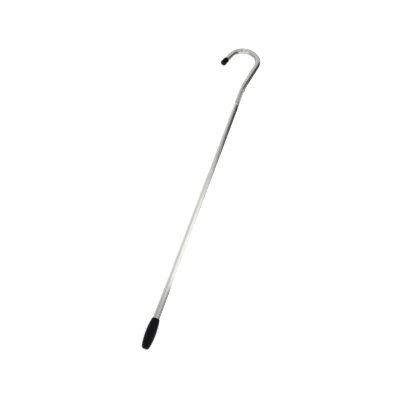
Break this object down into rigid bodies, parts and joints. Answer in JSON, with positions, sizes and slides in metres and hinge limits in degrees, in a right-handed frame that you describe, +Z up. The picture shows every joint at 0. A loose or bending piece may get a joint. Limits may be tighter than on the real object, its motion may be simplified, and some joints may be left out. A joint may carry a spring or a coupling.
{
  "type": "golf ball retriever",
  "caption": "Telescopic golf ball retriever: polished tube with a bent crook head, capped tip, rubber barrel grip and an internal twist lock.",
  "frame": {"origin": "centre of the flat butt face of the grip, on the shaft's axis", "axes": "+X along the shaft from the grip to the crook; the crook lies flat in the XY plane and its mouth opens back towards the grip on the +Y side; +Z up when it lies on a floor"},
  "size_m": [1.1497, 0.1358, 0.03],
  "materials": {
    "polished_tube": "polished",
    "inner_alloy": "satin",
    "grip_rubber": "satin moulded",
    "cap_vinyl": "gloss dipped",
    "dark_nylon": "moulded",
    "light_nylon": "moulded",
    "steel": "zinc plated",
    "black_steel": "black oxide",
    "brass": "turned"
  },
  "bodies": {
    "handle": {"handle_tube": "polished_tube", "grip": "grip_rubber", "butt_plug": "dark_nylon", "mouth_bushing": "dark_nylon"},
    "lock_sleeve": {"expander_sleeve": "light_nylon", "drag_ring": "grip_rubber"},
    "crook_section": {"crook_tube": "polished_tube", "tip_cap": "cap_vinyl", "head_sleeve": "inner_alloy", "head_bush": "inner_alloy", "head_rivets": "black_steel", "inner_tube": "inner_alloy", "stop_collar": "inner_alloy", "lock_plug": "light_nylon", "plug_pin": "steel", "lock_stud": "steel", "thrust_washer": "steel", "end_washer": "steel", "end_nut": "steel"},
    "lock_cone": {"expander_cone": "dark_nylon", "thread_insert": "brass"}
  },
  "joints": [
    {"name": "section_slide", "type": "slide", "parent": "handle", "child": "lock_sleeve", "axis": [1, 0, 0], "range_m": [0, 0.7]},
    {"name": "section_twist", "type": "hinge", "parent": "lock_sleeve", "child": "crook_section", "pos_m": [0.112, 0, 0], "axis": [1, 0, 0], "range_deg": [-360, 0]},
    {"name": "cone_travel", "type": "slide", "parent": "lock_sleeve", "child": "lock_cone", "axis": [1, 0, 0], "range_m": [0, 0.002]}
  ],
  "couplings": [
    {"joint": "cone_travel", "follows": "section_twist", "m_per_rad": -0.0003183}
  ]
}
